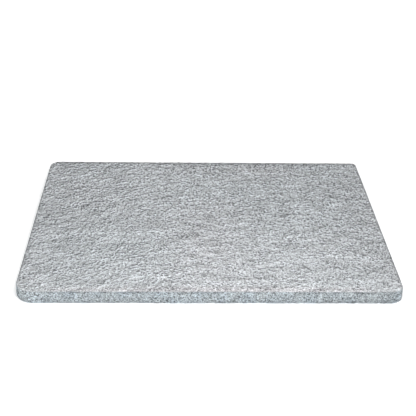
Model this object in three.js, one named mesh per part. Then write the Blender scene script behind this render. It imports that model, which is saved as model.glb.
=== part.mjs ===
// Ironing pad: a flat slab of heathered grey wool felt that clothes are pressed on.
// Four needled batts of equal thickness are stacked, worked together into one board and cut to a
// rectangle with rounded corners. Both broad faces are alike and their rims are softened.
// Millimetres, +Z up, +X along the width, front edge towards -Y, origin under the middle of the pad.

import * as THREE from 'three';

// Driving dimensions: the cut outline
const PAD_WIDTH = 432;
const PAD_DEPTH = 343;
const FRONT_LEFT_RADIUS = 21;
const FRONT_RIGHT_RADIUS = 15;
const BACK_RIGHT_RADIUS = 7;
const BACK_LEFT_RADIUS = 12;

// Driving dimensions: the stack of batts and the softened rims of its two faces
const BATT_THICKNESS = 4;
const FACE_RIM_RADIUS = 1;
const BACK_RIM_RADIUS = 1;

// Facets round a quarter turn of a plan corner (an even number), and over a rim
const CORNER_FACETS = 16;
const RIM_FACETS = 5;

// Felt colours: the worn broad faces, and the cooler grey of the cut edge
const FACE_GREY = 0xbcbfc3;
const EDGE_GREY = 0xaeb7bb;
const FELT_ROUGHNESS = 0.95;

// Height of the joint under the batt that has the given number of batts below it.
function jointHeight(battsBelow) {
  return battsBelow * BATT_THICKNESS;
}

// The cut outline drawn in by an inset, counter-clockwise: straight sides joined by quarter circles.
function outlinePoints(inset) {
  const side = PAD_WIDTH / 2 - inset;
  const end = PAD_DEPTH / 2 - inset;
  const corners = [
    { signX: 1, signY: -1, radius: FRONT_RIGHT_RADIUS, start: -Math.PI / 2 },
    { signX: 1, signY: 1, radius: BACK_RIGHT_RADIUS, start: 0 },
    { signX: -1, signY: 1, radius: BACK_LEFT_RADIUS, start: Math.PI / 2 },
    { signX: -1, signY: -1, radius: FRONT_LEFT_RADIUS, start: Math.PI },
  ];
  const outline = new THREE.Shape();
  for (const { signX, signY, radius, start } of corners) {
    const turn = radius - inset;
    const centreX = signX * (side - turn);
    const centreY = signY * (end - turn);
    outline.absarc(centreX, centreY, turn, start, start + Math.PI / 2, false);
  }
  return outline.getPoints(CORNER_FACETS / 2);
}

// Levels of a rim that turns from the upright wall into a broad face, from the wall inwards.
// direction is 1 for the rim of an upper face and -1 for the rim of an underside.
function rimLevels(faceHeight, radius, direction) {
  const levels = [];
  for (let step = 0; step <= RIM_FACETS; step += 1) {
    const angle = (step / RIM_FACETS) * (Math.PI / 2);
    const inset = radius * (1 - Math.cos(angle));
    const drop = radius * (1 - Math.sin(angle));
    levels.push({ inset, height: faceHeight - direction * drop });
  }
  return levels;
}

// A closed solid lofted through copies of the outline, one for each level from the lowest up.
function loftedSolid(levels) {
  const rings = levels.map(({ inset, height }) =>
    outlinePoints(inset).map((point) => new THREE.Vector3(point.x, point.y, height)));
  const count = rings[0].length;
  const positions = rings.flat().flatMap((point) => point.toArray());
  const triangles = [];
  for (let level = 0; level + 1 < rings.length; level += 1) {
    for (let index = 0; index < count; index += 1) {
      const next = (index + 1) % count;
      const low = level * count;
      const high = low + count;
      triangles.push(low + index, low + next, high + next);
      triangles.push(low + index, high + next, high + index);
    }
  }
  const topStart = (rings.length - 1) * count;
  const flatRing = rings[0].map((point) => new THREE.Vector2(point.x, point.y));
  for (const [a, b, c] of THREE.ShapeUtils.triangulateShape(flatRing, [])) {
    triangles.push(a, c, b);
    triangles.push(topStart + a, topStart + b, topStart + c);
  }
  const geometry = new THREE.BufferGeometry();
  geometry.setAttribute('position', new THREE.Float32BufferAttribute(positions, 3));
  geometry.setIndex(triangles);
  geometry.computeVertexNormals();
  return geometry;
}

// The four batts from the underside up. Each meets the next face to face at a joint height.
const batts = [
  {
    name: 'back_batt',
    colour: FACE_GREY,
    levels: [
      ...rimLevels(jointHeight(0), BACK_RIM_RADIUS, -1).reverse(),
      { inset: 0, height: jointHeight(1) },
    ],
  },
  {
    name: 'lower_core_batt',
    colour: EDGE_GREY,
    levels: [
      { inset: 0, height: jointHeight(1) },
      { inset: 0, height: jointHeight(2) },
    ],
  },
  {
    name: 'upper_core_batt',
    colour: EDGE_GREY,
    levels: [
      { inset: 0, height: jointHeight(2) },
      { inset: 0, height: jointHeight(3) },
    ],
  },
  {
    name: 'face_batt',
    colour: FACE_GREY,
    levels: [
      { inset: 0, height: jointHeight(3) },
      ...rimLevels(jointHeight(4), FACE_RIM_RADIUS, 1),
    ],
  },
];

const pad = new THREE.Group();
pad.name = 'ironing_pad';
for (const { name, colour, levels } of batts) {
  const felt = new THREE.MeshStandardMaterial({ color: colour, roughness: FELT_ROUGHNESS, metalness: 0 });
  const batt = new THREE.Mesh(loftedSolid(levels), felt);
  batt.name = name;
  pad.add(batt);
}

export default pad;
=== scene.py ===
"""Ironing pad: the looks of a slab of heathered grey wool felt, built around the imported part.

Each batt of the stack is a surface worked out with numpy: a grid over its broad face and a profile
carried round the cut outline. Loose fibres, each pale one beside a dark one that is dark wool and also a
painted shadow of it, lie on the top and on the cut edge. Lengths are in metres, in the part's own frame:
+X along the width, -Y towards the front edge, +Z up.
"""
import math

import bpy
import numpy as np
from mathutils import Matrix, Vector


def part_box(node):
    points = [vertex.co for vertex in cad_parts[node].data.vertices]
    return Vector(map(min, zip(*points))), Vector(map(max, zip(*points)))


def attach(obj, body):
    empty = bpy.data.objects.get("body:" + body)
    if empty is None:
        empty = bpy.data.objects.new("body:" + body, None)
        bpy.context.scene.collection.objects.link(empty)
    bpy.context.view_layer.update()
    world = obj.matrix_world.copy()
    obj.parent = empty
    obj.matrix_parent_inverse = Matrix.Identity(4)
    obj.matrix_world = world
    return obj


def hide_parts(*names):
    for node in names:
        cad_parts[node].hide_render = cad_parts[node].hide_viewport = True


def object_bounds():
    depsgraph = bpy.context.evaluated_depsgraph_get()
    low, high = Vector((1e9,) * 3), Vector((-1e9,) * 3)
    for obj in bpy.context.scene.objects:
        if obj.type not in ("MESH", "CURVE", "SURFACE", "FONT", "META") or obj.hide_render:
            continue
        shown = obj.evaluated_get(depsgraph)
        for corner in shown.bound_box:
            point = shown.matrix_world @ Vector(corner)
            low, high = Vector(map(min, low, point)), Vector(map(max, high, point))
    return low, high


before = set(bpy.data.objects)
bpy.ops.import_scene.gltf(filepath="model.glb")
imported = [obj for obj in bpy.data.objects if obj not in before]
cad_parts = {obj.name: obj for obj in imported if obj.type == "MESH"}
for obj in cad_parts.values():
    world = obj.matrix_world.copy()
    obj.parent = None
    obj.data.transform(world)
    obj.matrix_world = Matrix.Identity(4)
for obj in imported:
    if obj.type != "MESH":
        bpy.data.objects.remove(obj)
cad_low, cad_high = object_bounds()

# The pad's box and the heights of the joints between batts, from the frame
HALF_WIDTH = (cad_high.x - cad_low.x) / 2
HALF_DEPTH = (cad_high.y - cad_low.y) / 2
THICKNESS = cad_high.z - cad_low.z
JOINTS = tuple(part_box(name)[1].z for name in ("back_batt", "lower_core_batt", "upper_core_batt"))

# The cut outline: plan radius of each corner, with the signs of its quarter of the plan. A length under
# the smallest one has no direction
CORNERS = (
    (1, -1, 0.015),
    (1, 1, 0.007),
    (-1, 1, 0.012),
    (-1, -1, 0.021),
)
SMALLEST_LENGTH = 1e-9

# The felt surface: spacing of the grid, rows of points down a batt's wall and over a rim, radii of the
# rims, and the shoulder where the top eases down to its rim
GRID_STEP = 0.0014
WALL_ROWS = 8
RIM_ROWS = 4
FACE_RIM = 0.0005
BACK_RIM = 0.0010
SHOULDER_WIDTH = 0.012
SHOULDER_DROP = 0.00045

# The felt's relief: heights and widths of its low swells, its tufts and its grain. A squeeze below 1
# draws the tufts out along the flow
SWELL_HEIGHT = 0.00010
SWELL_WIDTH = 0.022
TUFT_HEIGHT = 0.00010
TUFT_WIDTH = 0.0042
TUFT_SQUEEZE = 0.45
GRAIN_HEIGHT = 0.00010
GRAIN_WIDTH = 0.0029

# The lines on the cut edge: the tight crease under the top rim and the faint lines between batts
CREASE_BELOW_TOP = 0.0017
CREASE_HEIGHT = THICKNESS - CREASE_BELOW_TOP
CREASE_DEPTH = 0.00025
CREASE_SPREAD = 0.0006
PLY_LINE_DEPTH = 0.00012
PLY_LINE_SPREAD = 0.0004

# Painted light and shade of the top near its rims. A painted highlight makes the front paler, fading out
# before each side, and painted light makes the corners paler, most where the outline faces neither way by
# more than the facing. Painted shade makes the other rims darker, and the far one more widely so
FRONT_HIGHLIGHT = 0.025
FRONT_HIGHLIGHT_WIDTH = 0.014
FRONT_HIGHLIGHT_END = 0.025
CORNER_PAINTED_LIGHT = 0.13
CORNER_PAINTED_LIGHT_WIDTH = 0.008
CORNER_FACING = 0.75
RIM_SHADE = 0.55
RIM_SHADE_WIDTH = 0.0017
FAR_SHADE = 0.44
FAR_SHADE_WIDTH = 0.0066

# Painted light and shade of the cut edge. Painted shade darkens the crease, which comes and goes in
# patches, and the edge near the foot, as a contact shadow; the edge is also darker at the middle joint and
# below it and, by a drift, at the right of the front. Painted light from the floor makes the very foot
# paler
CREASE_SHADE = 0.20
CREASE_PATCHES = 0.8
CREASE_PATCH = 0.016
MIDDLE_SHADE = 0.07
LOWER_SHADE = 0.02
EDGE_SHADE_SPREAD = 0.0011
FOOT_SHADE = 0.24
FOOT_SHADE_HEIGHT = 0.0024
FOOT_SHADE_SPREAD = 0.0019
FOOT_PAINTED_LIGHT = 0.22
FOOT_PAINTED_LIGHT_SPREAD = 0.0011
EDGE_DRIFT = 0.14

# The top is paler and darker in broad patches and in streaks along the flow: how much, how wide, and how
# much wider along the flow the streaks are
PATCHES = 0.055
PATCH = 0.10
STREAKS = 0.12
STREAK = 0.006
STREAK_DRAWN = 4.0

# The painted highlight at the front is a little warmer, and so are patches of the top; patches of the cut
# edge are a little bluer: how much and how wide
FRONT_WARMTH = 0.04
WARMTH = 0.015
WARM_PATCH = 0.08
BLUENESS = 0.025
BLUE_PATCH = 0.014

# Smooth noise: the seed of each use, how many random numbers there are, and the factors that mix the
# three places of a lattice corner into the pick of one
SEEDS = {
    "swells": 11,
    "tufts": 12,
    "grain": 13,
    "blue": 22,
    "crease": 23,
    "streaks": 24,
    "warm": 338,
    "patches": 458,
}
LATTICE_NUMBERS = 1 << 16
LATTICE_FACTORS = (73856093, 19349663, 83492791)

# The fibres lie along the width at the right. At the left they slant, and run back as they go right: the
# slope there, and the place and width of the change
FLOW_SLANT = 0.43
FLOW_TURN_AT = -0.055
FLOW_TURN_WIDTH = 0.025

# The felt's heather, by its group's inputs: repeats per metre and strengths of its tufts, grain, threads
# and clouds, and what differs on the cut edge. A squeeze above 1 shortens a pattern along the flow, and
# one below 1 draws it out. Noises and tones run from 0 to 1 about a middle
HEATHER = {
    "Marl Scale": 400.0,
    "Marl": 0.4,
    "Grain Scale": 650.0,
    "Grain": 0.5,
    "Squeeze": 1.3,
    "Threads": 0.4,
    "Clouds": 0.85,
}
CUT_EDGE_HEATHER = {"Squeeze": 0.9, "Marl": 0.6, "Grain": 1.6, "Grain Scale": 700.0, "Clouds": 0.0}
MARL_NOISE = {"Detail": 1.5, "Distortion": 0.4}
GRAIN_NOISE = {"Detail": 2.0, "Roughness": 0.6}
CLOUD_NOISE = {"Scale": 130.0, "Detail": 2.0}
CLOUD_SQUEEZE = 0.3
THREAD_NOISE = {"Detail": 1.0, "Distortion": 0.6}
THREAD_WIDTH = 0.06
PALE_THREAD_SCALE = 260.0
DARK_THREAD_SCALE = 230.0
MIDDLE = 0.5

# How the felt, a loose fibre and the floor take the light, and the felt's bump
FELT_SHADER = {"Roughness": 0.95, "Specular IOR Level": 0.1, "Sheen Weight": 0.1, "Sheen Roughness": 0.5}
FIBRE_SHADER = {"Roughness": 0.9, "Specular IOR Level": 0.1}
FLOOR_SHADER = {
    "Base Color": (0.93, 0.93, 0.93, 1),
    "Roughness": 0.9,
    "Specular IOR Level": 0.0,
    "Emission Color": (1, 1, 1, 1),
    "Emission Strength": 0.36,
}
FELT_BUMP = {"Strength": 0.6, "Distance": 0.0006}

# A Mix node's sockets by number, as those for colours and for plain numbers have the same names
MIX_COLOURS = (6, 7)
MIXED_COLOUR = 2
MIX_NUMBERS = (2, 3)
MIXED_NUMBER = 0

# Loose fibres that lie on the felt, of three kinds: the seed of its draws, how many in a piece, the steps
# along one, the ranges of length and radius, and how far one strays from the flow and bends, in radians
SHORT = {
    "seed": 40, "count": 16000, "steps": 3,
    "lengths": (0.0010, 0.0030), "radii": (0.00028, 0.00045), "stray": 0.5, "bend": 1.0,
}
LONG = {
    "seed": 41, "count": 2200, "steps": 7,
    "lengths": (0.005, 0.012), "radii": (0.00016, 0.00026), "stray": 0.4, "bend": 1.2,
}
EDGE = {
    "seed": 42, "count": 9000, "steps": 3,
    "lengths": (0.0009, 0.0019), "radii": (0.00026, 0.00040), "stray": 1.6, "bend": 1.0,
}

# Beside each pale fibre lies a dark one, dark wool that also stands in as painted shadow of the pale
# one: how far away on the top and on the cut edge, and the range of that. The fibres of the top lean to
# one side of the flow or the other, a share of the straying is combed out where the flow slants, and
# towards the back they are thicker by a share
DARK_BESIDE = 0.0027
EDGE_BESIDE = 0.0021
BESIDE_RANGE = (0.6, 1.4)
CROSSED = 0.55
COMBED = 0.68
BACK_THICKER = 0.45

# Tones of the two, their spread, the share of its radius that a fibre is lifted, and the directions of
# the corners of its section, in degrees from across it
PALE_TONE = 1.0
DARK_TONE = 0.05
TONE_SPREAD = 0.08
FIBRE_LIFT = 0.3
FIBRE_SECTION = (90.0, 210.0, 330.0)

# Darkest and palest shade of the fibres on the broad faces and on the cut edge
FACE_SHADES = ((0.081, 0.084, 0.087), (0.911, 0.944, 0.976))
EDGE_SHADES = ((0.080, 0.088, 0.092), (0.733, 0.810, 0.859))

# The studio: strength of the dome overhead, the sines of the heights between which it fades from the
# white of the cove, each softbox's place, aim, side, watts and spread, and the floor's reach and the gap
# that keeps it clear of the underside
DOME_LIGHT = 0.34
COVE_LOW = 0.17
COVE_HIGH = 0.35
SOFTBOXES = {
    "front_softbox": ((0.04, -0.50, 0.58), (0, -0.1, 0), 0.4, 3.9, math.pi),
    "rear_softbox": ((0.1, 0.9, 0.7), (0, 0.1, 0), 0.6, 3.2, math.pi),
    "backdrop_softbox": ((0.0, 2.6, 1.9), (0, 2.9, 0), 2.4, 30.0, math.radians(100)),
}
FLOOR_REACH = 6.0
FLOOR_GAP = 0.0002

# The photograph's view: camera place, the point it looks at, its roll and its lens
CAMERA_PLACE = Vector((-0.03473, -1.05411, 0.57331))
CAMERA_AIM = Vector((0.00270, 0.04502, 0.00800))
CAMERA_ROLL = math.radians(1.124)
PICTURE_SIDE = 416
FOCAL_PIXELS = 945.4
SENSOR_WIDTH = 36.0


# Shape of the felt

def smoothstep(share):
    """A share from 0 to 1, eased at both ends: 3 t^2 - 2 t^3."""
    return share * share * (3.0 - 2.0 * share)


def bell(distance, spread):
    """A bell curve of a distance: exp(-(distance / spread)^2)."""
    return np.exp(-((distance / spread) ** 2))


def lattice_noise(points, cell, seed):
    """Smooth noise from -1 to 1: random numbers on a cubic lattice, blended between its corners by
    the smoothstep along each axis."""
    numbers = np.random.default_rng(seed).uniform(-1.0, 1.0, LATTICE_NUMBERS)
    factor_x, factor_y, factor_z = LATTICE_FACTORS
    scaled = points / cell
    corner = np.floor(scaled).astype(np.int64)
    share = smoothstep(scaled - corner)
    total = np.zeros(points.shape[:-1])
    for step in np.ndindex(2, 2, 2):
        x, y, z = (corner[..., axis] + step[axis] for axis in range(3))
        picked = numbers[(x * factor_x ^ y * factor_y ^ z * factor_z) % LATTICE_NUMBERS]
        weight = np.where(np.array(step) == 1, share, 1.0 - share).prod(axis=-1)
        total += weight * picked
    return total


def corner_radius(x, y):
    """Plan radius of the corner in each point's quarter of the plan."""
    radius = np.zeros(np.shape(x))
    for sign_x, sign_y, corner in CORNERS:
        radius = np.where((x * sign_x >= 0) & (y * sign_y >= 0), corner, radius)
    return radius


def outline_reach(x, y):
    """How far each point lies inside the cut outline, and the outline's outward direction there: the
    distance to a rectangle shrunk by the corner radius, taken from that radius. Inside that rectangle
    the direction is zero."""
    radius = corner_radius(x, y)
    past = np.stack([np.abs(x) - (HALF_WIDTH - radius), np.abs(y) - (HALF_DEPTH - radius)], axis=-1)
    outside = np.maximum(past, 0.0)
    length = np.linalg.norm(outside, axis=-1)
    inside = radius - length - np.minimum(past.max(axis=-1), 0.0)
    sign = np.stack([np.where(x < 0, -1.0, 1.0), np.where(y < 0, -1.0, 1.0)], axis=-1)
    direction = sign * outside / np.maximum(length, SMALLEST_LENGTH)[..., None]
    return inside, direction


def rounded_grid(inset):
    """Plan points of a grid over the outline drawn in by an inset. In the square of a corner's radius
    a point at shares (a, b) goes to (a sqrt(1 - b^2/2), b sqrt(1 - a^2/2)), which lays the square's
    two outer sides on the quarter circle."""
    columns = round(2 * HALF_WIDTH / GRID_STEP)
    rows = round(2 * HALF_DEPTH / GRID_STEP)
    x, y = np.meshgrid(
        np.linspace(-HALF_WIDTH + inset, HALF_WIDTH - inset, columns + 1),
        np.linspace(-HALF_DEPTH + inset, HALF_DEPTH - inset, rows + 1),
    )
    round_x, round_y = x.copy(), y.copy()
    for sign_x, sign_y, radius in CORNERS:
        turn = radius - inset
        centre_x = HALF_WIDTH - radius
        centre_y = HALF_DEPTH - radius
        a = (sign_x * x - centre_x) / turn
        b = (sign_y * y - centre_y) / turn
        here = (a > 0) & (b > 0)
        a, b = np.clip(a, 0.0, 1.0), np.clip(b, 0.0, 1.0)
        round_x = np.where(here, sign_x * (centre_x + turn * a * np.sqrt(1 - b * b / 2)), round_x)
        round_y = np.where(here, sign_y * (centre_y + turn * b * np.sqrt(1 - a * a / 2)), round_y)
    return round_x, round_y


def rim_loop(shape):
    """Indices of a grid's outer points in order round it, counter-clockwise from above."""
    rows, columns = shape
    index = np.arange(rows * columns).reshape(shape)
    return np.concatenate([index[0, :-1], index[:-1, -1], index[-1, :0:-1], index[:0:-1, 0]])


def fibre_flow(points):
    """Coordinates that run with the fibres: along the width, and across it less the climb of the
    flow lines, whose slope eases from the slant at the left to nothing at the right."""
    x, y, z = np.moveaxis(points, -1, 0)
    turn = (x - FLOW_TURN_AT) / FLOW_TURN_WIDTH
    climb = -FLOW_SLANT * FLOW_TURN_WIDTH * np.log1p(np.exp(-turn))
    return np.stack([x, y - climb, z], axis=-1)


def felt_relief(points):
    """Height of the matted fibres above the mean surface: low swells, tufts that are longer along
    the flow, and grain."""
    squeezed = fibre_flow(points) * np.array([TUFT_SQUEEZE, 1.0, 1.0])
    return (
        SWELL_HEIGHT * lattice_noise(points, SWELL_WIDTH, SEEDS["swells"])
        + TUFT_HEIGHT * lattice_noise(squeezed, TUFT_WIDTH, SEEDS["tufts"])
        + GRAIN_HEIGHT * lattice_noise(points, GRAIN_WIDTH, SEEDS["grain"])
    )


def shoulder_drop(inside):
    """How far the top face has eased down at a distance inside the outline: a parabola that starts at
    the shoulder's width and is deepest at the rim."""
    return SHOULDER_DROP * np.maximum(1.0 - inside / SHOULDER_WIDTH, 0.0) ** 2


def edge_lines(height):
    """How far the cut edge is drawn in at each height: the crease under the rim and the lines between
    batts, each a bell curve."""
    drawn = CREASE_DEPTH * bell(height - CREASE_HEIGHT, CREASE_SPREAD)
    for joint in JOINTS:
        drawn = drawn + PLY_LINE_DEPTH * bell(height - joint, PLY_LINE_SPREAD)
    return drawn


def turning(outward):
    """How much an outline is turning a corner, from 0 on a side, or where it has no direction, to 1 where
    it faces neither way by more than the corner's facing."""
    facing = np.abs(outward).max(axis=-1)
    turned = np.clip((1.0 - facing) / (1.0 - CORNER_FACING), 0.0, 1.0)
    return np.where(facing > 0.0, turned, 0.0)


def top_tint(x, y):
    """Share of each colour that the top keeps: paler by a painted highlight in a smooth ramp towards the
    front edge and by painted light where the outline turns a corner, in a bell curve of the distance to
    it, darker by painted shade in bell curves of the distance to the rim away from the front and to the
    far edge, mottled by smooth noise in patches and in streaks along the flow, and redder in the ramp and
    in patches."""
    reach, outward = outline_reach(x, y)
    # Painted light where the outline turns a corner
    corner = CORNER_PAINTED_LIGHT * turning(outward) * bell(reach, CORNER_PAINTED_LIGHT_WIDTH)
    from_front = y + HALF_DEPTH
    from_side = HALF_WIDTH - np.abs(x)
    # Painted highlight along the front rim, faded out before each side
    front_highlight = smoothstep(np.clip(1.0 - from_front / FRONT_HIGHLIGHT_WIDTH, 0.0, 1.0))
    front_highlight = front_highlight * np.clip(from_side / FRONT_HIGHLIGHT_END - 1.0, 0.0, 1.0)
    aside = np.clip(from_front / FRONT_HIGHLIGHT_WIDTH - 1.0, 0.0, 1.0)
    # Painted shade along the rims away from the front and along the far edge
    rim = RIM_SHADE * aside * bell(reach, RIM_SHADE_WIDTH)
    far = FAR_SHADE * bell(HALF_DEPTH - y, FAR_SHADE_WIDTH)
    flat = np.stack([x, y, np.zeros(x.shape)], axis=-1)
    drawn = fibre_flow(flat) / (STREAK_DRAWN, 1.0, 1.0)
    patches = PATCHES * lattice_noise(flat, PATCH, SEEDS["patches"])
    mottled = patches + STREAKS * lattice_noise(drawn, STREAK, SEEDS["streaks"])
    shade = (1.0 + FRONT_HIGHLIGHT * front_highlight + corner + mottled) * (1.0 - rim) * (1.0 - far)
    red = shade * (1.0 + FRONT_WARMTH * front_highlight + WARMTH * lattice_noise(flat, WARM_PATCH, SEEDS["warm"]))
    return np.stack([red, shade, shade], axis=-1)


def edge_tint(points):
    """Share of each colour that the cut edge keeps: paler by painted light where the outline turns a
    corner, darker with the cube of the place along the width as far as it faces the front, by a step at
    the middle joint and in bell curves at the crease and near the foot, which are painted shade, and at
    the middle joint, paler in one at the foot, which is painted light from the floor, and bluer in patches
    of smooth noise. The crease varies by smooth noise and fades out at a corner."""
    x, y, height = np.moveaxis(points, -1, 0)
    _, outward = outline_reach(x, y)
    corner = turning(outward)
    drift = EDGE_DRIFT * (x / HALF_WIDTH) ** 3 * np.maximum(-outward[..., 1], 0.0)
    below = np.clip((JOINTS[1] + EDGE_SHADE_SPREAD - height) / (2 * EDGE_SHADE_SPREAD), 0.0, 1.0)
    # Painted light where the outline turns a corner
    shade = 1.0 + CORNER_PAINTED_LIGHT * corner - LOWER_SHADE * below - drift
    varied = 1.0 + CREASE_PATCHES * lattice_noise(points, CREASE_PATCH, SEEDS["crease"])
    # Painted shade in the crease and near the foot, and painted light from the floor at the very foot
    bands = (
        (CREASE_HEIGHT, CREASE_SHADE * (1.0 - corner) * varied, EDGE_SHADE_SPREAD),
        (JOINTS[1], MIDDLE_SHADE, EDGE_SHADE_SPREAD),
        (FOOT_SHADE_HEIGHT, FOOT_SHADE, FOOT_SHADE_SPREAD),
        (0.0, -FOOT_PAINTED_LIGHT, FOOT_PAINTED_LIGHT_SPREAD),
    )
    for place, depth, spread in bands:
        shade = shade - depth * bell(height - place, spread)
    blue = BLUENESS * lattice_noise(points, BLUE_PATCH, SEEDS["blue"])
    return np.stack([shade * (1.0 - blue), shade, shade * (1.0 + blue)], axis=-1)


def wall_rings(loop_x, loop_y, insets, heights, tilts):
    """Rows of points round the outline, one row for each inset, height and tilt. Each point is moved
    along the profile's own direction, tilted up from the outline's outward one, by the felt's relief."""
    reach, outward = outline_reach(loop_x, loop_y)
    inward = insets[:, None] - reach[None, :]
    x = loop_x[None, :] - outward[None, :, 0] * inward
    y = loop_y[None, :] - outward[None, :, 1] * inward
    z = np.broadcast_to(heights[:, None], x.shape)
    points = np.stack([x, y, z], axis=-1)
    relief = felt_relief(points)
    flat, up = np.cos(tilts)[:, None], np.sin(tilts)[:, None]
    points[..., 0] += relief * flat * outward[None, :, 0]
    points[..., 1] += relief * flat * outward[None, :, 1]
    points[..., 2] += relief * up
    return points


def strip_faces(rings, loop_length):
    """Quads between consecutive rings of point numbers, facing outwards when the rings go downwards."""
    upper, lower = rings[:-1], rings[1:]
    after = np.roll(np.arange(loop_length), -1)
    quads = np.stack([upper, lower, lower[:, after], upper[:, after]], axis=-1)
    return quads.reshape(-1, 4)


def grid_faces(shape):
    """Quads of a grid, facing up."""
    index = np.arange(shape[0] * shape[1]).reshape(shape)
    quads = [index[:-1, :-1], index[:-1, 1:], index[1:, 1:], index[1:, :-1]]
    return np.stack(quads, axis=-1).reshape(-1, 4)


def new_object(name, data):
    """A new object in the scene, from a mesh, a lamp or a camera."""
    made = bpy.data.objects.new(name, data)
    bpy.context.scene.collection.objects.link(made)
    return made


def point_attribute(mesh, name, values):
    """Give each point of a mesh a number or a vector that its finish reads."""
    kind, key = ("FLOAT", "value") if values.ndim == 1 else ("FLOAT_VECTOR", "vector")
    layer = mesh.attributes.new(name, kind, "POINT")
    layer.data.foreach_set(key, values.astype(np.float32).ravel())


def felt_object(name, points, faces, caps, cut_edge, tint):
    """A mesh object from its points, quads and flat caps, with the attributes of the felt."""
    mesh = bpy.data.meshes.new(name)
    mesh.from_pydata(points, [], faces.tolist() + [cap.tolist() for cap in caps])
    smooth = np.ones(len(mesh.polygons), bool)
    smooth[len(faces):] = False
    mesh.polygons.foreach_set("use_smooth", smooth)
    point_attribute(mesh, "fibre_flow", fibre_flow(points))
    point_attribute(mesh, "felt_tint", tint)
    point_attribute(mesh, "cut_edge", cut_edge)
    mesh.update()
    return new_object(name, mesh)


def fibre_object(name, paths, outward, radii, tones, tints):
    """Tapered threads: a triangle carried along each path, as wide as the root of the sine of pi times
    the share of the length, with both ends drawn to a point."""
    count, length = paths.shape[:2]
    corners = len(FIBRE_SECTION)
    along = np.gradient(paths, axis=1)
    along /= np.linalg.norm(along, axis=-1, keepdims=True)
    across = np.cross(outward, along)
    share = np.linspace(0.0, 1.0, length)[1:-1]
    radius = (radii[:, None] * np.sqrt(np.sin(math.pi * share)))[..., None, None]
    turns = np.radians(FIBRE_SECTION)[:, None]
    section = np.cos(turns) * across[:, 1:-1, None] + np.sin(turns) * outward[:, 1:-1, None]
    rings = paths[:, 1:-1, None] + radius * section
    points = np.concatenate([paths[:, :1], rings.reshape(count, -1, 3), paths[:, -1:]], axis=1)
    in_each = points.shape[1]
    ring = 1 + np.arange(corners * (length - 2)).reshape(length - 2, corners)
    after = np.roll(ring, -1, axis=1)
    sides = np.stack([ring[:-1], after[:-1], after[1:], ring[1:]], axis=-1).reshape(-1, 4)
    first_tip = np.stack([np.zeros(corners, int), after[0], ring[0]], axis=-1)
    last_tip = np.stack([np.full(corners, in_each - 1), ring[-1], after[-1]], axis=-1)
    tips = np.concatenate([first_tip, last_tip])
    starts = (np.arange(count) * in_each)[:, None, None]
    quads = (sides + starts).reshape(-1, 4)
    triangles = (tips + starts).reshape(-1, 3)
    mesh = bpy.data.meshes.new(name)
    mesh.from_pydata(points.reshape(-1, 3), [], quads.tolist() + triangles.tolist())
    mesh.polygons.foreach_set("use_smooth", np.ones(len(mesh.polygons), bool))
    point_attribute(mesh, "fibre_tone", np.repeat(tones, in_each))
    point_attribute(mesh, "felt_tint", np.repeat(tints, in_each, axis=0))
    mesh.update()
    return new_object(name, mesh)


def laid_paths(draw, kind, start, heading, thick, beside):
    """Two coordinates of the points along each fibre, and its radius. A fibre turns steadily about its
    heading, and its whole path is moved to the left of that by about the distance beside."""
    count, steps = kind["count"], kind["steps"]
    size = draw.uniform(0.0, 1.0, count)
    turn = draw.normal(0.0, kind["bend"], count)
    aside = beside * thick * draw.uniform(*BESIDE_RANGE, count)
    radii = thick * np.interp(size, (0.0, 1.0), kind["radii"])
    step = (np.interp(size, (0.0, 1.0), kind["lengths"]) / steps)[:, None]
    angle = heading[:, None] + turn[:, None] * np.linspace(-0.5, 0.5, steps + 1)
    first = (start[:, 0] - aside * np.sin(heading))[:, None] + np.cumsum(np.cos(angle) * step, axis=1)
    second = (start[:, 1] + aside * np.cos(heading))[:, None] + np.cumsum(np.sin(angle) * step, axis=1)
    return first, second, radii


def fibre_tones(draw, tone, count):
    """Tones of the fibres, spread about the given one."""
    return np.clip(tone + draw.normal(0.0, TONE_SPREAD, count), 0.0, 1.0)


def top_height(x, y):
    """Height of the pressing surface: the felt's relief on the pad's thickness, less the shoulder."""
    reach, _ = outline_reach(x, y)
    flat = np.stack([x, y, np.full(x.shape, THICKNESS)], axis=-1)
    return THICKNESS + felt_relief(flat) - shoulder_drop(reach)


def top_fibres(name, kind, tone, beside):
    """Loose fibres on the pressing surface. Each heads to one side of the flow's direction or the other,
    less so where the flow slants, and lies on the relief, lifted by a share of its radius."""
    draw = np.random.default_rng(kind["seed"])
    count = kind["count"]
    start = draw.uniform(-1.0, 1.0, (count, 2)) * (HALF_WIDTH, HALF_DEPTH)
    heading = draw.normal(0.0, kind["stray"], count) + CROSSED * draw.choice((-1.0, 1.0), count)
    slanted = 1.0 / (1.0 + np.exp((start[:, 0] - FLOW_TURN_AT) / FLOW_TURN_WIDTH))
    heading = heading * (1.0 - COMBED * slanted) + np.arctan(FLOW_SLANT * slanted)
    thick = 1.0 + BACK_THICKER * (start[:, 1] + HALF_DEPTH) / (2 * HALF_DEPTH)
    x, y, radii = laid_paths(draw, kind, start, heading, thick, beside)
    tones = fibre_tones(draw, tone, count)
    reach, _ = outline_reach(x, y)
    kept = reach.min(axis=1) > FACE_RIM
    x, y, radii, tones = x[kept], y[kept], radii[kept], tones[kept]
    paths = np.stack([x, y, top_height(x, y) + radii[:, None] * FIBRE_LIFT], axis=-1)
    outward = np.broadcast_to((0.0, 0.0, 1.0), paths.shape)
    return fibre_object(name, paths, outward, radii, tones, top_tint(x, y).mean(axis=1))


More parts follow.
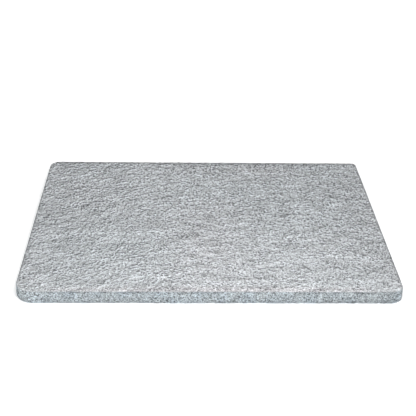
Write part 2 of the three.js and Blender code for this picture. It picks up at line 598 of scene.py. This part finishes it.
def edge_fibres(name, kind, tone, beside):
    """Loose fibres on the cut edge. Each is laid in the distance round the outline and the height, and
    lies on the edge's relief, lifted by a share of its radius."""
    grid_x, grid_y = rounded_grid(0.0)
    loop = rim_loop(grid_x.shape)
    loop = np.append(loop, loop[0])
    loop_x, loop_y = grid_x.ravel()[loop], grid_y.ravel()[loop]
    places = np.append(0.0, np.cumsum(np.hypot(np.diff(loop_x), np.diff(loop_y))))
    draw = np.random.default_rng(kind["seed"])
    count = kind["count"]
    start = draw.uniform(0.0, 1.0, (count, 2)) * (places[-1], THICKNESS)
    heading = draw.normal(0.0, kind["stray"], count)
    around, height, radii = laid_paths(draw, kind, start, heading, np.ones(count), beside)
    tones = fibre_tones(draw, tone, count)
    top = THICKNESS - shoulder_drop(FACE_RIM) - FACE_RIM
    kept = (height.min(axis=1) > BACK_RIM) & (height.max(axis=1) < top)
    around, height, radii, tones = around[kept] % places[-1], height[kept], radii[kept], tones[kept]
    x, y = np.interp(around, places, loop_x), np.interp(around, places, loop_y)
    _, way = outline_reach(x, y)
    outward = np.concatenate([way, np.zeros((*x.shape, 1))], axis=-1)
    flat = np.stack([x, y, height], axis=-1)
    lift = felt_relief(flat) - edge_lines(height) + radii[:, None] * FIBRE_LIFT
    paths = flat + lift[..., None] * outward
    return fibre_object(name, paths, outward, radii, tones, edge_tint(flat).mean(axis=1))


def face_batt_felt():
    """The top batt: a grid over the pressing surface that eases down at its shoulder, a quarter-round
    rim and the cut edge down to its joint, closed by a flat cap."""
    x, y = rounded_grid(FACE_RIM)
    top = np.stack([x, y, top_height(x, y)], axis=-1)
    loop = rim_loop(x.shape)
    rim_top = THICKNESS - shoulder_drop(FACE_RIM)
    angles = np.linspace(math.pi / 2, 0.0, RIM_ROWS + 1)[1:]
    rim_insets = FACE_RIM * (1 - np.cos(angles))
    rim_heights = rim_top - FACE_RIM * (1 - np.sin(angles))
    wall_heights = np.linspace(rim_heights[-1], JOINTS[2], WALL_ROWS + 1)[1:]
    insets = np.concatenate([rim_insets, np.zeros(WALL_ROWS)])
    heights = np.concatenate([rim_heights, wall_heights])
    insets = insets + edge_lines(heights)
    tilts = np.concatenate([angles, np.zeros(WALL_ROWS)])
    walls = wall_rings(x.ravel()[loop], y.ravel()[loop], insets, heights, tilts)
    numbers = x.size + np.arange(walls[..., 0].size).reshape(len(heights), len(loop))
    rings = np.concatenate([loop[None, :], numbers])
    points = np.concatenate([top.reshape(-1, 3), walls.reshape(-1, 3)])
    faces = np.concatenate([grid_faces(x.shape), strip_faces(rings, len(loop))])
    edge = np.concatenate([np.zeros(x.size), np.repeat(np.cos(tilts) ** 2, len(loop))])
    tint = np.concatenate([top_tint(x, y).reshape(-1, 3), edge_tint(walls).reshape(-1, 3)])
    return felt_object("face_batt_felt", points, faces, [rings[-1, ::-1]], edge, tint)


def core_batt_felt(name, low, high):
    """An inner batt: its cut edge between two joints, closed by flat caps."""
    x, y = rounded_grid(0.0)
    loop = rim_loop(x.shape)
    heights = np.linspace(high, low, WALL_ROWS + 1)
    upright = np.zeros(WALL_ROWS + 1)
    walls = wall_rings(x.ravel()[loop], y.ravel()[loop], edge_lines(heights), heights, upright)
    rings = np.arange(walls[..., 0].size).reshape(len(heights), len(loop))
    faces = strip_faces(rings, len(loop))
    caps = [rings[0], rings[-1, ::-1]]
    tint = edge_tint(walls).reshape(-1, 3)
    return felt_object(name, walls.reshape(-1, 3), faces, caps, np.ones(rings.size), tint)


def back_batt_felt():
    """The bottom batt: the cut edge down from its joint, a quarter-round rim and a grid over the
    underside, whose relief only goes upwards so that it lies on the table."""
    x, y = rounded_grid(BACK_RIM)
    flat = np.stack([x, y, np.zeros(x.shape)], axis=-1)
    under = flat.copy()
    under[..., 2] += np.abs(felt_relief(flat))
    loop = rim_loop(x.shape)
    wall_heights = np.linspace(JOINTS[0], BACK_RIM, WALL_ROWS + 1)
    angles = np.linspace(0.0, math.pi / 2, RIM_ROWS + 1)[1:-1]
    insets = np.concatenate([np.zeros(WALL_ROWS + 1), BACK_RIM * (1 - np.cos(angles))])
    heights = np.concatenate([wall_heights, BACK_RIM * (1 - np.sin(angles))])
    insets = insets + edge_lines(heights)
    tilts = np.concatenate([np.zeros(WALL_ROWS + 1), -angles])
    walls = wall_rings(x.ravel()[loop], y.ravel()[loop], insets, heights, tilts)
    walls[..., 2] = np.maximum(walls[..., 2], 0.0)
    numbers = x.size + np.arange(walls[..., 0].size).reshape(len(heights), len(loop))
    rings = np.concatenate([numbers, loop[None, :]])
    points = np.concatenate([under.reshape(-1, 3), walls.reshape(-1, 3)])
    faces = np.concatenate([grid_faces(x.shape)[:, ::-1], strip_faces(rings, len(loop))])
    edge = np.concatenate([np.zeros(x.size), np.repeat(np.cos(tilts) ** 2, len(loop))])
    tint = np.concatenate([np.ones((x.size, 3)), edge_tint(walls).reshape(-1, 3)])
    return felt_object("back_batt_felt", points, faces, [rings[0]], edge, tint)


# Finish of the felt

def add_node(tree, kind, place, **settings):
    """A new node with its own settings, and with input values given by socket name or number in inputs."""
    made = tree.nodes.new(kind)
    made.location = place
    for socket, value in settings.pop("inputs", {}).items():
        made.inputs[socket].default_value = value
    for key, value in settings.items():
        setattr(made, key, value)
    return made


def new_group(name, inputs, outputs):
    """An empty shader node group with a Flow vector, number inputs and number outputs."""
    group = bpy.data.node_groups.new(name, "ShaderNodeTree")
    group.interface.new_socket("Flow", in_out="INPUT", socket_type="NodeSocketVector")
    for socket, value in inputs.items():
        made = group.interface.new_socket(socket, in_out="INPUT", socket_type="NodeSocketFloat")
        made.default_value = value
    for socket in outputs:
        group.interface.new_socket(socket, in_out="OUTPUT", socket_type="NodeSocketFloat")
    return group


def squeezed_flow(group, given, place):
    """A group's Flow, squeezed along the fibres by its Squeeze."""
    across, up = place
    squeeze = add_node(group, "ShaderNodeCombineXYZ", (across - 200, up), inputs={"Y": 1.0, "Z": 1.0})
    group.links.new(given.outputs["Squeeze"], squeeze.inputs["X"])
    along = add_node(group, "ShaderNodeVectorMath", place, operation="MULTIPLY")
    group.links.new(given.outputs["Flow"], along.inputs[0])
    group.links.new(squeeze.outputs["Vector"], along.inputs[1])
    return along.outputs["Vector"]


def thread_group():
    """Curled threads: thin bands along the level lines of a noise that is squeezed along the flow.
    Mask is 1 in the middle of a thread and falls to 0 at its sides."""
    inputs = {"Scale": PALE_THREAD_SCALE, "Squeeze": HEATHER["Squeeze"], "Width": THREAD_WIDTH}
    group = new_group("felt_threads", inputs, ("Mask",))
    link = group.links.new
    given = add_node(group, "NodeGroupInput", (-900, 0))
    noise = add_node(group, "ShaderNodeTexNoise", (-300, 0), inputs=THREAD_NOISE)
    link(squeezed_flow(group, given, (-500, -100)), noise.inputs["Vector"])
    link(given.outputs["Scale"], noise.inputs["Scale"])
    offset = add_node(group, "ShaderNodeMath", (-100, 0), operation="SUBTRACT", inputs={1: MIDDLE})
    link(noise.outputs["Fac"], offset.inputs[0])
    away = add_node(group, "ShaderNodeMath", (50, 0), operation="ABSOLUTE")
    link(offset.outputs[0], away.inputs[0])
    fall = {"To Min": 1.0, "To Max": 0.0}
    band = add_node(group, "ShaderNodeMapRange", (200, 0), interpolation_type="SMOOTHSTEP", inputs=fall)
    link(away.outputs[0], band.inputs["Value"])
    link(given.outputs["Width"], band.inputs["From Max"])
    out = add_node(group, "NodeGroupOutput", (400, 0))
    link(band.outputs["Result"], out.inputs["Mask"])
    return group


def heather_group(threads):
    """Light and dark fibres worked together. Tone, from dark to pale, adds up four things about its
    middle: marl in tufts along the flow, fine grain, curled pale and dark threads, and wide clouds.
    Height is for the bump."""
    group = new_group("felt_heather", HEATHER, ("Tone", "Height"))
    link = group.links.new
    given = add_node(group, "NodeGroupInput", (-1100, 0))

    def swing(noise, strength, place):
        """A noise's value about its middle, times a strength."""
        offset = add_node(group, "ShaderNodeMath", place, operation="SUBTRACT", inputs={1: MIDDLE})
        link(noise.outputs["Fac"], offset.inputs[0])
        times = add_node(group, "ShaderNodeMath", (place[0] + 150, place[1]), operation="MULTIPLY")
        link(offset.outputs[0], times.inputs[0])
        link(given.outputs[strength], times.inputs[1])
        return times.outputs[0]

    def total(values, start, place):
        """The sum of some values and a starting number."""
        sum_so_far = None
        for step, value in enumerate(values):
            plus = add_node(group, "ShaderNodeMath", (place[0] + 150 * step, place[1]), operation="ADD")
            plus.inputs[1].default_value = start
            link(value, plus.inputs[0])
            if sum_so_far is not None:
                link(sum_so_far, plus.inputs[1])
            sum_so_far = plus.outputs[0]
        return sum_so_far

    marl = add_node(group, "ShaderNodeTexNoise", (-500, 300), inputs=MARL_NOISE)
    link(squeezed_flow(group, given, (-700, -150)), marl.inputs["Vector"])
    link(given.outputs["Marl Scale"], marl.inputs["Scale"])
    grain = add_node(group, "ShaderNodeTexNoise", (-500, 0), inputs=GRAIN_NOISE)
    link(given.outputs["Flow"], grain.inputs["Vector"])
    link(given.outputs["Grain Scale"], grain.inputs["Scale"])
    drift = add_node(group, "ShaderNodeVectorMath", (-700, -350), operation="MULTIPLY")
    drift.inputs[1].default_value = (CLOUD_SQUEEZE, 1.0, 1.0)
    link(given.outputs["Flow"], drift.inputs[0])
    cloud = add_node(group, "ShaderNodeTexNoise", (-500, -300), inputs=CLOUD_NOISE)
    link(drift.outputs["Vector"], cloud.inputs["Vector"])
    strands = []
    for sign, scale, place in ((1.0, PALE_THREAD_SCALE, -600), (-1.0, DARK_THREAD_SCALE, -800)):
        thread = add_node(group, "ShaderNodeGroup", (-500, place), node_tree=threads)
        thread.inputs["Scale"].default_value = scale
        link(given.outputs["Flow"], thread.inputs["Flow"])
        link(given.outputs["Squeeze"], thread.inputs["Squeeze"])
        strand = add_node(group, "ShaderNodeMath", (-300, place), operation="MULTIPLY", inputs={1: sign})
        link(thread.outputs["Mask"], strand.inputs[0])
        strands.append(strand.outputs[0])
    both = total(strands, 0.0, (-100, -700))
    drawn = add_node(group, "ShaderNodeMath", (250, -700), operation="MULTIPLY")
    link(both, drawn.inputs[0])
    link(given.outputs["Threads"], drawn.inputs[1])
    marl_swing = swing(marl, "Marl", (-250, 300))
    grain_swing = swing(grain, "Grain", (-250, 0))
    cloud_swing = swing(cloud, "Clouds", (-250, -300))
    matted = total((marl_swing, grain_swing, drawn.outputs[0]), MIDDLE, (450, 100))
    tone = total((matted, cloud_swing), 0.0, (950, 100))
    out = add_node(group, "NodeGroupOutput", (1300, 0))
    link(tone, out.inputs["Tone"])
    link(matted, out.inputs["Height"])
    return group


def new_material(name):
    """A material without any nodes."""
    material = bpy.data.materials.new(name)
    material.use_nodes = True
    material.node_tree.nodes.clear()
    return material


def shade_of_tone(tree, tone, shades, place):
    """The colour of a tone, which runs between the darkest and the palest of two shades."""
    ramp = add_node(tree, "ShaderNodeValToRGB", place)
    for element, shade in zip(ramp.color_ramp.elements, shades):
        element.color = (*shade, 1.0)
    tree.links.new(tone, ramp.inputs["Fac"])
    return ramp.outputs["Color"]


def tinted(tree, colour, place):
    """A colour times the tint of each point, which carries painted light and shade as well as the colour's
    drift.
    """
    across, up = place
    tint = add_node(tree, "ShaderNodeAttribute", (across - 200, up + 150), attribute_name="felt_tint")
    times = add_node(tree, "ShaderNodeVectorMath", place, operation="MULTIPLY")
    tree.links.new(colour, times.inputs[0])
    tree.links.new(tint.outputs["Vector"], times.inputs[1])
    return times.outputs["Vector"]


def felt_material(name, heather):
    """Wool felt: heathered grey on the broad faces, cooler and grainier where it was cut."""
    material = new_material(name)
    tree = material.node_tree
    link = tree.links.new
    flow = add_node(tree, "ShaderNodeAttribute", (-900, 0), attribute_name="fibre_flow")
    cut = add_node(tree, "ShaderNodeAttribute", (-900, 300), attribute_name="cut_edge")
    face = add_node(tree, "ShaderNodeGroup", (-650, 100), node_tree=heather)
    edge = add_node(tree, "ShaderNodeGroup", (-650, -200), node_tree=heather)
    for socket, value in CUT_EDGE_HEATHER.items():
        edge.inputs[socket].default_value = value
    colour = add_node(tree, "ShaderNodeMix", (-100, 100), data_type="RGBA")
    height = add_node(tree, "ShaderNodeMix", (-100, -250), data_type="FLOAT")
    for mixed in (colour, height):
        link(cut.outputs["Fac"], mixed.inputs["Factor"])
    kinds = ((face, FACE_SHADES, 150), (edge, EDGE_SHADES, -200))
    for (heathered, shades, place), colour_in, height_in in zip(kinds, MIX_COLOURS, MIX_NUMBERS):
        link(flow.outputs["Vector"], heathered.inputs["Flow"])
        shade = shade_of_tone(tree, heathered.outputs["Tone"], shades, (-400, place))
        link(shade, colour.inputs[colour_in])
        link(heathered.outputs["Height"], height.inputs[height_in])
    bump = add_node(tree, "ShaderNodeBump", (100, -250), inputs=FELT_BUMP)
    link(height.outputs[MIXED_NUMBER], bump.inputs["Height"])
    wool = add_node(tree, "ShaderNodeBsdfPrincipled", (300, 100), inputs=FELT_SHADER)
    link(tinted(tree, colour.outputs[MIXED_COLOUR], (100, 200)), wool.inputs["Base Color"])
    link(bump.outputs["Normal"], wool.inputs["Normal"])
    out = add_node(tree, "ShaderNodeOutputMaterial", (600, 100))
    link(wool.outputs["BSDF"], out.inputs["Surface"])
    return material


def fibre_material(name, shades):
    """A single wool fibre: its tone runs between the felt's darkest and palest shade."""
    material = new_material(name)
    tree = material.node_tree
    link = tree.links.new
    tone = add_node(tree, "ShaderNodeAttribute", (-600, 0), attribute_name="fibre_tone")
    shade = shade_of_tone(tree, tone.outputs["Fac"], shades, (-400, 0))
    wool = add_node(tree, "ShaderNodeBsdfPrincipled", (0, 0), inputs=FIBRE_SHADER)
    link(tinted(tree, shade, (-150, 100)), wool.inputs["Base Color"])
    out = add_node(tree, "ShaderNodeOutputMaterial", (300, 0))
    link(wool.outputs["BSDF"], out.inputs["Surface"])
    return material


# Stage: pale floor, soft light and the camera

def pale_floor():
    """A wide flat floor just below the underside."""
    mesh = bpy.data.meshes.new("pale_floor")
    signs = ((-1, -1), (1, -1), (1, 1), (-1, 1))
    square = [(sign_x * FLOOR_REACH, sign_y * FLOOR_REACH, 0) for sign_x, sign_y in signs]
    mesh.from_pydata(square, [], [(0, 1, 2, 3)])
    floor = new_object("pale_floor", mesh)
    paint = bpy.data.materials.new("pale_floor")
    paint.use_nodes = True
    shader = paint.node_tree.nodes["Principled BSDF"]
    for socket, value in FLOOR_SHADER.items():
        shader.inputs[socket].default_value = value
    mesh.materials.append(paint)
    floor.location.z = cad_low.z - FLOOR_GAP


def softbox(name, place, aim, side, power, spread):
    """A square area light that faces a point."""
    lamp = bpy.data.lights.new(name, "AREA")
    lamp.energy = power
    lamp.size = side
    lamp.spread = spread
    lamp_object = new_object(name, lamp)
    lamp_object.location = place
    lamp_object.rotation_euler = (Vector(aim) - Vector(place)).to_track_quat("-Z", "Y").to_euler()


def studio_dome():
    """A dome of even light that turns white towards the horizon, as a cove behind the floor does."""
    world = bpy.data.worlds.new("studio_dome")
    world.use_nodes = True
    tree = world.node_tree
    link = tree.links.new
    sky = tree.nodes["Background"]
    sky.inputs["Color"].default_value = (1, 1, 1, 1)
    way = add_node(tree, "ShaderNodeTexCoord", (-800, 0))
    split = add_node(tree, "ShaderNodeSeparateXYZ", (-600, 0))
    link(way.outputs["Generated"], split.inputs["Vector"])
    fade = {"From Min": COVE_LOW, "From Max": COVE_HIGH, "To Min": 1.0, "To Max": DOME_LIGHT}
    rise = add_node(tree, "ShaderNodeMapRange", (-400, 0), interpolation_type="SMOOTHSTEP", inputs=fade)
    link(split.outputs["Z"], rise.inputs["Value"])
    link(rise.outputs["Result"], sky.inputs["Strength"])
    bpy.context.scene.world = world


def studio():
    """The dome, softboxes over the front and the rear, and one that lights the floor far behind."""
    bpy.context.scene.view_settings.view_transform = "Standard"
    studio_dome()
    for name, settings in SOFTBOXES.items():
        softbox(name, *settings)


def photo_camera():
    """The camera where the photograph was taken from."""
    data = bpy.data.cameras.new("photo_camera")
    data.sensor_width = SENSOR_WIDTH
    data.lens = FOCAL_PIXELS / PICTURE_SIDE * SENSOR_WIDTH
    camera = new_object("photo_camera", data)
    turn = (CAMERA_AIM - CAMERA_PLACE).to_track_quat("-Z", "Y").to_matrix().to_4x4()
    camera.matrix_world = Matrix.Translation(CAMERA_PLACE) @ turn @ Matrix.Rotation(CAMERA_ROLL, 4, "Z")
    bpy.context.scene.camera = camera


photo_camera()
studio()
pale_floor()

heather = heather_group(thread_group())
face_felt = felt_material("heathered_felt", heather)
core_felt = felt_material("cut_felt", heather)

batts = (
    (face_batt_felt(), "face_batt", "felt_face", face_felt),
    (core_batt_felt("upper_core_felt", JOINTS[1], JOINTS[2]), "upper_core_batt", "felt_core", core_felt),
    (core_batt_felt("lower_core_felt", JOINTS[0], JOINTS[1]), "lower_core_batt", "felt_core", core_felt),
    (back_batt_felt(), "back_batt", "felt_face", face_felt),
)
for piece, node, slot, felt in batts:
    piece.data.materials.append(felt)
    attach(piece, "root")
    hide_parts(node)

face_strand = fibre_material("loose_face_fibre", FACE_SHADES)
edge_strand = fibre_material("loose_edge_fibre", EDGE_SHADES)
# Each dark piece lies beside its pale one, as dark wool and as painted shadow of it
fibre_pieces = (
    (top_fibres("pale_fibres", SHORT, PALE_TONE, 0.0), "felt_face", face_strand),
    (top_fibres("dark_fibres", SHORT, DARK_TONE, DARK_BESIDE), "felt_face", face_strand),
    (top_fibres("pale_hairs", LONG, PALE_TONE, 0.0), "felt_face", face_strand),
    (top_fibres("dark_hairs", LONG, DARK_TONE, DARK_BESIDE), "felt_face", face_strand),
    (edge_fibres("pale_edge_fibres", EDGE, PALE_TONE, 0.0), "felt_core", edge_strand),
    (edge_fibres("dark_edge_fibres", EDGE, DARK_TONE, EDGE_BESIDE), "felt_core", edge_strand),
)
for fibres, slot, strand in fibre_pieces:
    fibres.data.materials.append(strand)
    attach(fibres, "root")
